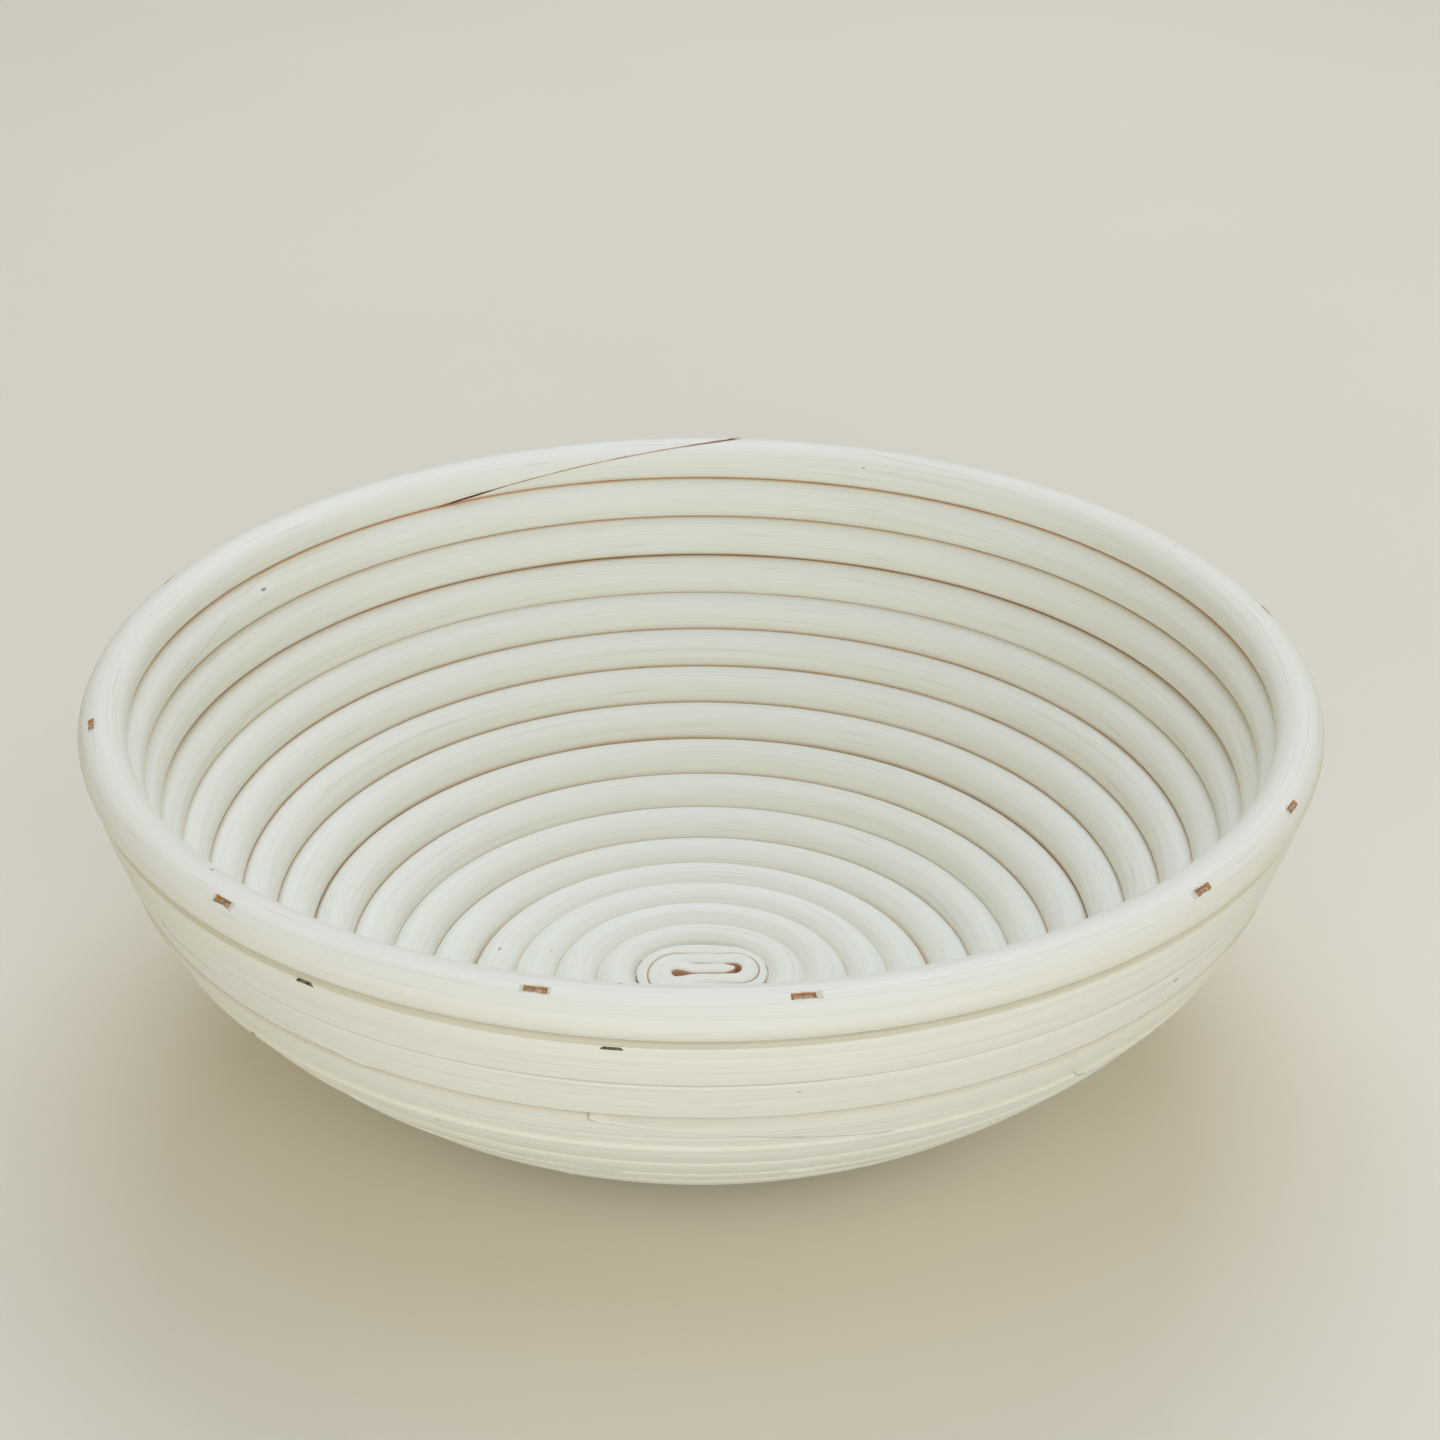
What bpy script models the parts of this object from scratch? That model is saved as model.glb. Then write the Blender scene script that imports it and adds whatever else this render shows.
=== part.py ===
"""Round proofing basket of coiled cane: a rolled centre, closed cane hoops laid side by side and
on top of each other, and the wire staples that tie each hoop to the one below it.

Metres, +Z up. The origin is on the basket's axis, on the surface that it stands on.
Azimuths are in degrees, 0 along +X and 90 along +Y. In a hoop's section, 'up' runs along the wall
towards the rim and 'out' runs square to the wall, away from the dough.
"""

import math

import bmesh
import bpy
from mathutils import Vector

# Cane and basket
RIM_DIAMETER = 0.250        # over the outside of the top hoop
CANE_DIAMETER = 0.0094      # of the cane, and so the distance from hoop to hoop
OUTSIDE_DEPTH = 0.86        # of each hoop's flattened outer side, as a share of its round inner side
OUTSIDE_FLATNESS = 3.2      # 2 leaves the outer side round, more makes it flatter
FIT_GAP = 0.0003            # left between two pieces that touch
BASE_HOOPS = 4              # hoops that lie flat around the centre roll
WALL_HOOPS = 11             # hoops between the base and the rim hoop
BASE_CROWN = 0.0016         # how far the middle of the base stands above its edge
WALL_SLOPES = (             # share of the wall from the base, slope in degrees
    (0, 6.5), (0.09, 20.5), (0.18, 29.5), (0.64, 50), (0.82, 69.5), (0.91, 75), (1, 75),
)

# Centre roll: a strip of split cane, folded back on itself and wound round
ROLL_RADIUS = 0.0127        # room that the first base hoop leaves for it
ROLL_STRIP = 0.252 * ROLL_RADIUS   # thickness of the strip
ROLL_SLIT = 0.00035         # left between two turns of the strip
ROLL_FOLD = 0.9055 * ROLL_RADIUS   # from the eye inside the fold to the strip's inner end
ROLL_OFFSET = (0.0984 * ROLL_RADIUS, -0.126 * ROLL_RADIUS)  # fold's middle from the axis
ROLL_EYE_RADIUS = 0.0709 * ROLL_RADIUS
ROLL_BEVEL = 0.0012
ROLL_ARC_STEPS = 8          # along each half turn

# Scarf joints: each hoop is one cane whose two ends are cut on a long slant and laid together
SCARF_LENGTH = 0.075
SCARF_SHARE = 0.16          # most of a small hoop's length that its scarf may take
SCARF_GAP = 0.0004
RIM_SCARF_AZIMUTH = 104
SCARF_ARC = (208, 122)      # the other scarfs are spread over this many degrees, from this azimuth
SCARF_STEP = 0.618          # share of that arc from one hoop's scarf to the next

# Staples
STAPLE_CROWN = 0.0044       # over the outside of both legs
STAPLE_LEG = 0.014
STAPLE_WIRE = 0.0006        # thickness of the flat wire, in the plane of the staple
STAPLE_WIDTH = 0.0010       # width of the flat wire, across the staple
STAPLE_SUNK = 0.0006        # how far the crown is driven below the surface of the cane
STAPLE_POINT = 0.0008       # length of the chisel point on each leg
STAPLE_LEAN = 24            # degrees from the top of the section towards the outside
RIM_STAPLES = (             # azimuth and lean of each
    (13, 24), (45, 24), (76, 24), (102, 24), (130, 24), (160, 24),
    (192, 8), (227, 29), (257, 14), (278, 14), (316, 34), (333, 34),
)
TOP_WALL_STAPLES = ((236, 38), (263, 26))
STAPLES_PER_HOOP = 2        # on each hoop below those two
FIRST_STAPLE = 90           # azimuth of the first staple of the innermost hoop
STAPLE_TURN = 137.5         # degrees from one hoop's staples to the next hoop's

# Fineness of the round shapes
SECTION_SIDES = 10
WALL_SEGMENTS = 48
BASE_SEGMENTS = 24

CANE_COLOUR = (0.84, 0.82, 0.72, 1)
ROLL_COLOUR = (0.80, 0.77, 0.66, 1)
WIRE_COLOUR = (0.34, 0.25, 0.18, 1)

cane_radius = CANE_DIAMETER / 2 - FIT_GAP / 2


def clear_scene():
    for thing in list(bpy.data.objects):
        bpy.data.objects.remove(thing)


def make_material(name, colour, roughness, metallic):
    material = bpy.data.materials.new(name)
    material.use_nodes = True
    shader = material.node_tree.nodes["Principled BSDF"]
    shader.inputs["Base Color"].default_value = colour
    shader.inputs["Roughness"].default_value = roughness
    shader.inputs["Metallic"].default_value = metallic
    return material


def add_object(name, bm, material=None):
    bmesh.ops.recalc_face_normals(bm, faces=bm.faces)
    mesh = bpy.data.meshes.new(name)
    bm.to_mesh(mesh)
    bm.free()
    made = bpy.data.objects.new(name, mesh)
    bpy.context.scene.collection.objects.link(made)
    if material:
        mesh.materials.append(material)
    return made


def add_cutter(name, bm):
    cutter = add_object(name, bm)
    cutter.hide_render = True
    cutter.display_type = "WIRE"
    return cutter


def cut(target, cutter, name):
    modifier = target.modifiers.new(name, "BOOLEAN")
    modifier.operation = "DIFFERENCE"
    modifier.object = cutter


def sweep(bm, sections, closed):
    """Joins a row of equal sections, each a list of points, into one solid."""
    rings = [[bm.verts.new(point) for point in section] for section in sections]
    pairs = list(zip(rings, rings[1:]))
    if closed:
        pairs.append((rings[-1], rings[0]))
    for near, far in pairs:
        for i in range(len(near)):
            j = (i + 1) % len(near)
            bm.faces.new((near[i], near[j], far[j], far[i]))
    if not closed:
        bm.faces.new(rings[0])
        bm.faces.new(list(reversed(rings[-1])))


# Profile ---------------------------------------------------------------------------------------


def cane_corners(flattened=True):
    """(out, up) of each corner of a hoop's section: round inside, and flattened outside."""
    corners = []
    for k in range(SECTION_SIDES):
        out = math.sin(2 * math.pi * k / SECTION_SIDES)
        up = math.cos(2 * math.pi * k / SECTION_SIDES)
        if flattened and out > 1e-6:
            out = OUTSIDE_DEPTH * out ** (2 / OUTSIDE_FLATNESS)
            up = math.copysign(abs(up) ** (2 / OUTSIDE_FLATNESS), up)
        corners.append((cane_radius * out, cane_radius * up))
    return corners


def base_height():
    """Of the middle of the outermost base hoop, which stands on its flattened side."""
    return max(out for out, _ in cane_corners())


def slope_at(share):
    """Slope of the wall in degrees at a share of its length, before it is fitted to the rim."""
    for (start, low), (end, high) in zip(WALL_SLOPES, WALL_SLOPES[1:]):
        if share <= end:
            return low + (high - low) * (share - start) / (end - start)
    return WALL_SLOPES[-1][1]


def wall_slopes():
    """Slope of each step from the last base hoop to the rim hoop, so that the rim has its size."""
    steps = WALL_HOOPS + 1
    plain = [math.radians(slope_at(k / (steps - 1))) for k in range(steps)]
    reach = RIM_DIAMETER / 2 - CANE_DIAMETER / 2 - base_radius(BASE_HOOPS)
    low, high = 0.0, math.pi / max(plain)
    for _ in range(60):
        factor = (low + high) / 2
        if CANE_DIAMETER * sum(math.cos(factor * s) for s in plain) > reach:
            low = factor
        else:
            high = factor
    return [factor * s for s in plain]


def base_radius(number):
    return ROLL_RADIUS + (number - 0.5) * CANE_DIAMETER


def crown_height(radius):
    """How far a base piece at this radius stands above the last base hoop."""
    return BASE_CROWN * (1 - min(1, radius / base_radius(BASE_HOOPS)) ** 2)


def hoop_list():
    """(name, centre radius, centre height, tilt of the section) of each hoop, from the middle out."""
    hoops = []
    for number in range(1, BASE_HOOPS + 1):
        radius = base_radius(number)
        hoops.append((f"base_hoop_{number}", radius, base_height() + crown_height(radius), 0.0))
    radius, height = hoops[-1][1:3]
    slopes = wall_slopes()
    for number, slope in enumerate(slopes, 1):
        radius += CANE_DIAMETER * math.cos(slope)
        height += CANE_DIAMETER * math.sin(slope)
        name = "rim_hoop" if number == len(slopes) else f"wall_hoop_{number:02d}"
        hoops.append((name, radius, height, slope))
    return hoops


# Hoops -----------------------------------------------------------------------------------------


def on_section(radius, height, azimuth, out, up, tilt):
    """A point of a hoop's section: out and up are metres square to and along the wall."""
    r = radius + up * math.cos(tilt) + out * math.sin(tilt)
    z = height + up * math.sin(tilt) - out * math.cos(tilt)
    return Vector((r * math.cos(azimuth), r * math.sin(azimuth), z))


def add_hoop(name, radius, height, tilt, material):
    segments = WALL_SEGMENTS if radius > base_radius(BASE_HOOPS) else BASE_SEGMENTS
    corners = cane_corners(flattened=name != "rim_hoop")
    sections = []
    for step in range(segments):
        azimuth = 2 * math.pi * step / segments
        sections.append([on_section(radius, height, azimuth, *corner, tilt) for corner in corners])
    bm = bmesh.new()
    sweep(bm, sections, closed=True)
    hoop = add_object(name, bm, material)
    hoop.data.shade_smooth()
    hoop.data.set_sharp_from_angle(angle=math.radians(50))
    return hoop


def scarf_azimuth(index, hoops):
    if index == len(hoops) - 1:
        return math.radians(RIM_SCARF_AZIMUTH)
    start, span = SCARF_ARC
    return math.radians(start + span * (index * SCARF_STEP % 1))


def add_scarf_cutter(name, radius, height, tilt, azimuth):
    """A thin slanting sheet that parts the hoop from its top edge to its bottom edge."""
    length = min(SCARF_LENGTH, SCARF_SHARE * 2 * math.pi * radius)
    reach = cane_radius * 1.1
    steps = 12
    sections = []
    for step in range(steps + 1):
        share = step / steps
        here = azimuth + (share - 0.5) * length / radius
        middle = reach * (1 - 2 * share)
        sections.append([
            on_section(radius, height, here, side * reach, middle + edge * SCARF_GAP / 2, tilt)
            for side, edge in ((-1, -1), (1, -1), (1, 1), (-1, 1))
        ])
    bm = bmesh.new()
    sweep(bm, sections, closed=False)
    return add_cutter(name, bm)


# Staples ---------------------------------------------------------------------------------------


def staple_outline(clearance, rise):
    """The staple's U as (across, down) points, grown by a clearance, its crown raised by rise."""
    half = STAPLE_CROWN / 2 + clearance
    inner = STAPLE_CROWN / 2 - STAPLE_WIRE - clearance
    point = STAPLE_POINT if clearance == 0 else 0
    tip = STAPLE_LEG + clearance
    crown = STAPLE_WIRE + clearance
    return [
        (-half, -rise), (half, -rise), (half, tip - point), (inner, tip), (inner, crown),
        (-inner, crown), (-inner, tip), (-half, tip - point),
    ]


def staple_frame(hoop, below, azimuth, lean):
    """Origin of the crown and the across, down and side directions of a staple."""
    radius, height, tilt = hoop[1:4]
    depth = cane_radius - STAPLE_SUNK
    crown = on_section(radius, height, azimuth, depth * math.sin(lean), depth * math.cos(lean), tilt)
    target = on_section(below[0], below[1], azimuth, 0, 0, 0)
    down = (target - crown).normalized()
    across = Vector((-math.sin(azimuth), math.cos(azimuth), 0))
    return crown, across, down, across.cross(down)


def add_staple_shape(bm, frame, clearance, rise):
    crown, across, down, side = frame
    half_width = STAPLE_WIDTH / 2 + clearance
    sections = [
        [crown + across * a + down * d + side * offset for a, d in staple_outline(clearance, rise)]
        for offset in (-half_width, half_width)
    ]
    sweep(bm, sections, closed=False)


def staple_places(index, hoops):
    """Azimuth and lean of each staple of a hoop, in degrees."""
    if index == len(hoops) - 1:
        return RIM_STAPLES
    if index == len(hoops) - 2:
        return TOP_WALL_STAPLES
    first = FIRST_STAPLE + STAPLE_TURN * index
    return [(first + 360 * k / STAPLES_PER_HOOP, STAPLE_LEAN) for k in range(STAPLES_PER_HOOP)]


def staple_plan(hoops):
    """(name, index of its hoop, frame) of every staple."""
    plan = []
    for index, hoop in enumerate(hoops):
        below = hoops[index - 1][1:3] if index else (0.0, hoop[2])
        for number, (azimuth, lean) in enumerate(staple_places(index, hoops), 1):
            frame = staple_frame(hoop, below, math.radians(azimuth), math.radians(lean))
            plan.append((f"{hoop[0].replace('_hoop', '')}_staple_{number}", index, frame))
    return plan


def add_staple_holes(target, staples, owners):
    """Cuts the holes of the staples whose hoop is one of the owners."""
    bm = bmesh.new()
    for _, owner, frame in staples:
        if owner in owners:
            add_staple_shape(bm, frame, FIT_GAP, CANE_DIAMETER / 2)
    cut(target, add_cutter(f"{target.name}_drill", bm), "staple_holes")


# Centre roll -----------------------------------------------------------------------------------


def roll_slit_path():
    """The line between the strip's turns, seen from above, from the fold's eye out to the edge."""
    eye = Vector((ROLL_OFFSET[0] - ROLL_FOLD / 2, ROLL_OFFSET[1]))
    inner_end = eye + Vector((ROLL_FOLD, ROLL_STRIP / 2))
    half_turns = (
        (inner_end, -math.pi / 2, 0.5, 0.5),
        (eye, math.pi / 2, 1, 1),
        (inner_end, -math.pi / 2, 1.5, 1.5),
        (eye, math.pi / 2, 2, 3.4),
    )
    path = [eye]
    for centre, start, first, last in half_turns:
        for step in range(ROLL_ARC_STEPS + 1):
            share = step / ROLL_ARC_STEPS
            angle = start + math.pi * share
            reach = ROLL_STRIP * (first + (last - first) * share)
            path.append(centre + reach * Vector((math.cos(angle), math.sin(angle))))
    return path


def circle_at(centre, radius, z, sides):
    turns = [2 * math.pi * k / sides for k in range(sides)]
    return [Vector((centre[0] + radius * math.cos(a), centre[1] + radius * math.sin(a), z))
            for a in turns]


def add_roll(staples, material):
    radius = ROLL_RADIUS - FIT_GAP
    low = BASE_CROWN
    high = base_height() + BASE_CROWN + cane_radius
    bm = bmesh.new()
    sweep(bm, [
        circle_at((0, 0), reach, z, BASE_SEGMENTS)
        for reach, z in ((radius - ROLL_BEVEL, low), (radius, low + ROLL_BEVEL),
                         (radius, high - ROLL_BEVEL), (radius - ROLL_BEVEL, high))
    ], closed=False)
    roll = add_object("centre_roll", bm, material)

    below, above = low - CANE_DIAMETER, high + CANE_DIAMETER
    path = roll_slit_path()
    sections = []
    for i, here in enumerate(path):
        along = (path[min(i + 1, len(path) - 1)] - path[max(i - 1, 0)]).normalized()
        side = Vector((-along.y, along.x)) * ROLL_SLIT / 2
        left, right = here + side, here - side
        sections.append([Vector((*right, below)), Vector((*left, below)),
                         Vector((*left, above)), Vector((*right, above))])
    bm = bmesh.new()
    sweep(bm, sections, closed=False)
    cut(roll, add_cutter("centre_roll_slit", bm), "turns")

    tip = path[1 + ROLL_ARC_STEPS // 2] - Vector((ROLL_EYE_RADIUS / 2, 0))
    for number, place in enumerate((path[0], tip), 1):
        bm = bmesh.new()
        sweep(bm, [circle_at(place, ROLL_EYE_RADIUS, z, 12) for z in (below, above)], closed=False)
        cut(roll, add_cutter(f"centre_roll_eye_{number}", bm), f"eye_{number}")
    add_staple_holes(roll, staples, (0,))


# Assembly --------------------------------------------------------------------------------------


def build():
    clear_scene()
    cane = make_material("bleached_cane", CANE_COLOUR, 0.65, 0)
    split_cane = make_material("split_cane", ROLL_COLOUR, 0.7, 0)
    wire = make_material("staple_wire", WIRE_COLOUR, 0.45, 1)
    hoops = hoop_list()
    staples = staple_plan(hoops)
    add_roll(staples, split_cane)
    for index, (name, radius, height, tilt) in enumerate(hoops):
        hoop = add_hoop(name, radius, height, tilt, cane)
        azimuth = scarf_azimuth(index, hoops)
        cut(hoop, add_scarf_cutter(f"{name}_slit", radius, height, tilt, azimuth), "scarf")
        add_staple_holes(hoop, staples, (index, index + 1))
    for name, _, frame in staples:
        bm = bmesh.new()
        add_staple_shape(bm, frame, 0, 0)
        add_object(name, bm, wire)


build()
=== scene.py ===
import math
import random

import bmesh
import bpy
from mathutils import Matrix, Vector
from mathutils.bvhtree import BVHTree


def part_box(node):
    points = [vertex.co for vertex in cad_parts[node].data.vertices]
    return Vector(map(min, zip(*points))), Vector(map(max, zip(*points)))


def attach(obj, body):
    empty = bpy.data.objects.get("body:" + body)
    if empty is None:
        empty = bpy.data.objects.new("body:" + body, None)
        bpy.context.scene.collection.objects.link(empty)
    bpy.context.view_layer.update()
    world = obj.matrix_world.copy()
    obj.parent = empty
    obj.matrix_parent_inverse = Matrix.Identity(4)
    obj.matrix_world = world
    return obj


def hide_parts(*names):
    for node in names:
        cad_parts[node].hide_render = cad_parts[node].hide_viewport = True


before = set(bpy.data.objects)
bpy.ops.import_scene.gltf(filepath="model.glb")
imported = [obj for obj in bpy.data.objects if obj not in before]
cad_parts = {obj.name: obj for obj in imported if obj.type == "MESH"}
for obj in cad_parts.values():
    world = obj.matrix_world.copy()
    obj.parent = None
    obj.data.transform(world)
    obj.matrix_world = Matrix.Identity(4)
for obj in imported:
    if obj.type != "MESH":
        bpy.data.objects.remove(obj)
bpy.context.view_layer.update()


class Wire:
    # one output of a node, so that sums on it can be written as sums
    def __init__(self, bench, socket):
        self.bench = bench
        self.socket = socket

    def maths(self, operation, *others):
        return self.bench.node("ShaderNodeMath", {"operation": operation},
                               dict(enumerate((self,) + others)))

    def reflected(self, operation, other):
        return self.bench.node("ShaderNodeMath", {"operation": operation}, {0: other, 1: self})

    def __add__(self, other): return self.maths("ADD", other)
    def __sub__(self, other): return self.maths("SUBTRACT", other)
    def __mul__(self, other): return self.maths("MULTIPLY", other)
    def __truediv__(self, other): return self.maths("DIVIDE", other)
    def __pow__(self, other): return self.maths("POWER", other)
    def __neg__(self): return self.maths("MULTIPLY", -1)
    def __lt__(self, other): return self.maths("LESS_THAN", other)
    def __gt__(self, other): return self.maths("GREATER_THAN", other)
    def __rsub__(self, other): return self.reflected("SUBTRACT", other)
    def __rtruediv__(self, other): return self.reflected("DIVIDE", other)
    __radd__ = __add__
    __rmul__ = __mul__

    def sin(self): return self.maths("SINE")
    def cos(self): return self.maths("COSINE")
    def size(self): return self.maths("ABSOLUTE")
    def sign(self): return self.maths("SIGN")
    def atLeast(self, other): return self.maths("MAXIMUM", other)
    def atMost(self, other): return self.maths("MINIMUM", other)
    def unit(self): return self.atLeast(0).atMost(1)

    def ramp(self, low, high):
        # 0 below low and 1 above high, with soft ends
        return self.bench.node("ShaderNodeMapRange", {"interpolation_type": "SMOOTHSTEP"},
                               {"Value": self, "From Min": low, "From Max": high})

    def parts(self):
        return [self.bench.node("ShaderNodeSeparateXYZ", {}, {0: self}, k) for k in range(3)]


class Bench:
    # adds nodes to one tree
    def __init__(self, tree):
        self.tree = tree
        tree.nodes.clear()

    def node(self, kind, settings=None, inputs=None, output=0):
        made = self.tree.nodes.new(kind)
        for name, value in (settings or {}).items():
            setattr(made, name, value)
        for name, value in (inputs or {}).items():
            if isinstance(value, Wire):
                self.tree.links.new(value.socket, made.inputs[name])
            else:
                made.inputs[name].default_value = value
        return Wire(self, made.outputs[output]) if made.outputs else made

    def vector(self, x, y, z):
        return self.node("ShaderNodeCombineXYZ", {}, {0: x, 1: y, 2: z})

    def mixColour(self, share, first, second, blend="MIX"):
        return self.node("ShaderNodeMix", {"data_type": "RGBA", "blend_type": blend},
                         {"Factor": share, 6: first, 7: second}, 2)

    def noise(self, where, scale=1, detail=2, fourth=None):
        flat = fourth is None
        inputs = {"Vector": where, "Scale": scale, "Detail": detail}
        return self.node("ShaderNodeTexNoise", {"noise_dimensions": "3D" if flat else "4D"},
                         inputs if flat else {**inputs, "W": fourth})


def rgb(r, g, b):
    # a colour as seen on a screen, 0 to 255, as the shader wants it
    linear = [c / 255 / 12.92 if c <= 10 else ((c / 255 + 0.055) / 1.055) ** 2.4 for c in (r, g, b)]
    return (*linear, 1)


caneLook = {
    "pale": rgb(243, 243, 236),
    "warm": rgb(238, 236, 221),
    "streak": rgb(196, 190, 168),
    # painted shade, warm like bounced light, for the creases between hoops
    "paintedCreaseShade": rgb(222, 164, 96),
    # a real stain along the rim's scarf seam; the roll also uses it as painted shade in its eye
    "stainAndShade": rgb(190, 124, 66),
    "speck": rgb(92, 72, 50),
    "roughness": 0.62,
    "fibreRoughness": 0.16,    # added where a fibre stands up
    "grainHeight": 0.00012,
}


def startMaterial(name):
    material = bpy.data.materials.new(name)
    material.use_nodes = True
    return material, Bench(material.node_tree)


def endMaterial(bench, colour, roughness, bump=None, metallic=0, height=0.0001):
    inputs = {"Base Color": colour, "Roughness": roughness, "Metallic": metallic}
    if bump is not None:
        inputs["Normal"] = bench.node("ShaderNodeBump", {}, {
            "Height": bump, "Strength": 1, "Distance": height})
    shader = bench.node("ShaderNodeBsdfPrincipled", {}, inputs)
    bench.node("ShaderNodeOutputMaterial", {}, {"Surface": shader})


def caneMaterial(name, look):
    # 'cane' holds metres along the cane, out of its wall and up its wall; 'tint' holds how much
    # painted shade its creases get, how stained its seam is or how much painted shade lies in the
    # roll's eye, and how far up its section it lies, -1 to 1
    material, b = startMaterial(name)
    along, out, up = b.node("ShaderNodeAttribute", {"attribute_name": "cane"}, {}, 1).parts()
    paintedCreaseShade, stainAndShade, level = b.node("ShaderNodeAttribute", {"attribute_name": "tint"}, {}, 1).parts()

    def grain(lengthwise, across, detail=2):
        return b.noise(b.vector(along * lengthwise, out * across, up * across), 1, detail)

    fibres = grain(18, 3200, 3)
    bands = grain(7, 900, 3)
    patches = grain(16, 90)
    scuffs = grain(45, 1300, 1)
    tone = (bands * 1.1 + patches * 0.6 - 0.45).unit()
    colour = b.mixColour(tone, look["pale"], look["warm"])
    colour = b.mixColour(scuffs.ramp(0.64, 0.82) * 0.28, colour, look["streak"])
    colour = b.mixColour(fibres.ramp(0.50, 0.80) * 0.28, colour, look["streak"])
    edge = level.size().ramp(0.84, 0.975)
    broken = grain(40, 120).ramp(0.25, 0.7) * 0.5 + 0.5
    # painted shade, warm like bounced light, in the creases where one hoop meets the next
    colour = b.mixColour(edge * paintedCreaseShade * broken, colour, look["paintedCreaseShade"])
    dotted = grain(260, 60, 1).ramp(0.30, 0.62) * 0.45 + 0.55
    # the seam's real stain, and on the roll the painted shade in its eye
    colour = b.mixColour(stainAndShade.unit() * dotted, colour, look["stainAndShade"])
    spots = b.node("ShaderNodeTexVoronoi", {"voronoi_dimensions": "3D"},
                   {"Vector": b.vector(along * 55, out * 130, up * 130), "Scale": 1})
    rare = b.noise(b.vector(along * 31, out * 50, up * 50), 1, 0).ramp(0.54, 0.57)
    colour = b.mixColour((1 - spots.ramp(0.03, 0.06)) * rare * 0.8, colour, look["speck"])
    height = fibres * 0.5 + bands * 0.7
    roughness = look["roughness"] + fibres * look["fibreRoughness"]
    endMaterial(b, colour, roughness, height, 0, look["grainHeight"])
    return material


cane = caneMaterial("bleachedCane", caneLook)


def slotMaterial():
    # the raw sides of a slot that a staple was driven into
    material, b = startMaterial("splitWood")
    where = b.node("ShaderNodeTexCoord", {}, {}, 3)
    fibres = b.noise(where, 2600, 2)
    colour = b.mixColour(fibres, rgb(196, 144, 92), rgb(228, 186, 134))
    endMaterial(b, colour, 0.8, fibres)
    return material


splitWood = slotMaterial()


def wireMaterial(name, dark, light):
    material, b = startMaterial(name)
    where = b.node("ShaderNodeTexCoord", {}, {}, 3)
    rust = b.noise(where, 1500, 3)
    colour = b.mixColour(rust.ramp(0.35, 0.65), dark, light)
    endMaterial(b, colour, 0.5 + rust * 0.3, rust, 0.35)
    return material


brownedWire = wireMaterial("brownedWire", rgb(166, 136, 108), rgb(218, 188, 152))
# the same wire painted darker, as shade for the staples in the groove under the rim
wireInPaintedShade = wireMaterial("wireInPaintedShade", rgb(84, 72, 64), rgb(146, 130, 114))
print("materials made")


hoopNames = ([f"base_hoop_{k}" for k in range(1, 5)]
             + [f"wall_hoop_{k:02d}" for k in range(1, 12)] + ["rim_hoop"])


def hoopCentre(name):
    # radius, height and half width of a hoop, from the two points that lie farthest apart in a
    # section that no slot cuts: one with all its corners, on one of the even steps
    corners, evenStep = 10, 15
    sections = {}
    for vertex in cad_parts[name].data.vertices:
        x, y, z = vertex.co
        turn = round(math.degrees(math.atan2(y, x)) % 360, 2)
        sections.setdefault(turn, set()).add((round(math.hypot(x, y), 6), round(z, 6)))
    clean = next(points for turn, points in sorted(sections.items())
                 if len(points) == corners and turn % evenStep == 0)
    near, far = max(((p, q) for p in clean for q in clean), key=lambda pq: math.dist(*pq))
    return (near[0] + far[0]) / 2, (near[1] + far[1]) / 2, math.dist(near, far) / 2


hoops = []
for name in hoopNames:
    radius, height, halfWidth = hoopCentre(name)
    tilt = 0
    if name.startswith(("wall", "rim")):
        tilt = math.atan2(height - hoops[-1]["height"], radius - hoops[-1]["radius"])
    hoops.append({"name": name, "radius": radius, "height": height, "tilt": tilt,
                  "half": halfWidth})
pitch = hoops[1]["radius"] - hoops[0]["radius"]
print("profile read:", len(hoops), "hoops,", round(pitch * 1000, 2), "mm apart")


hoopShape = {
    "stepAlong": 0.0016,
    "stepsAround": 64,
    "fullness": 1.045,       # closes the gap that the frame leaves between hoops
    "innerDepth": 1.0,       # round inner side, of the half width
    "outerDepth": 0.82,      # flattened outer side
    "flatness": 15.0,        # 2 leaves the outer side round
    "crown": 0.07,           # how much the flattened side drops towards its edges
    "keystone": 0.05,        # how much wider the flattened side is
    "unevenness": 0.035,
    "facets": 0.030,
    "ridges": 0.010,
    "reeding": 0.05,         # low ridges along the flattened side
    "scarfLength": 0.060,
    "scarfShare": 0.16,      # most of a small hoop's length that its scarf takes
    "seamGap": 0.00001,
    "seamSplit": 0.0,        # how many times wider the gap gets near the lower tip
    "seamStain": 0.0,
    "stainWidth": 0.00024,
    "tipLift": 0.0,
    "creaseShadeAbove": 1.0,       # share of the painted crease shade that its upper edge takes
}
rimShape = {
    **hoopShape, "outerDepth": 1.0, "flatness": 2.0, "crown": 0.0, "keystone": 0.0,
    "reeding": 0.0, "scarfLength": 0.087, "seamSplit": 22.0, "seamStain": 1.0,
    "tipLift": 0.0003, "creaseShadeAbove": 0.0,
}
shapes = {"rim_hoop": rimShape, "wall_hoop_11": {**hoopShape, "outerDepth": 0.92}}
scarfPlaces = {
    "rim_hoop": 83.5,        # where each scarf starts, in degrees
    "wall_hoop_11": 144,
    "first": 208,            # the others are spread over an arc at the front
    "arc": 122,
    "step": 0.618,           # of that arc, from one hoop to the next
}
ovals = {"base_hoop_1": 0.0009, "base_hoop_2": 0.0006, "base_hoop_3": 0.0003}
# painted shade in the creases between hoops, warm like bounced light, stronger on the higher hoops
creaseShadeStrength = {
    "low": 0.35,
    "rise": 0.55,            # added evenly over the hoops from the one numbered here up
    "from": 6,
    "over": 9,
}


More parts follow.
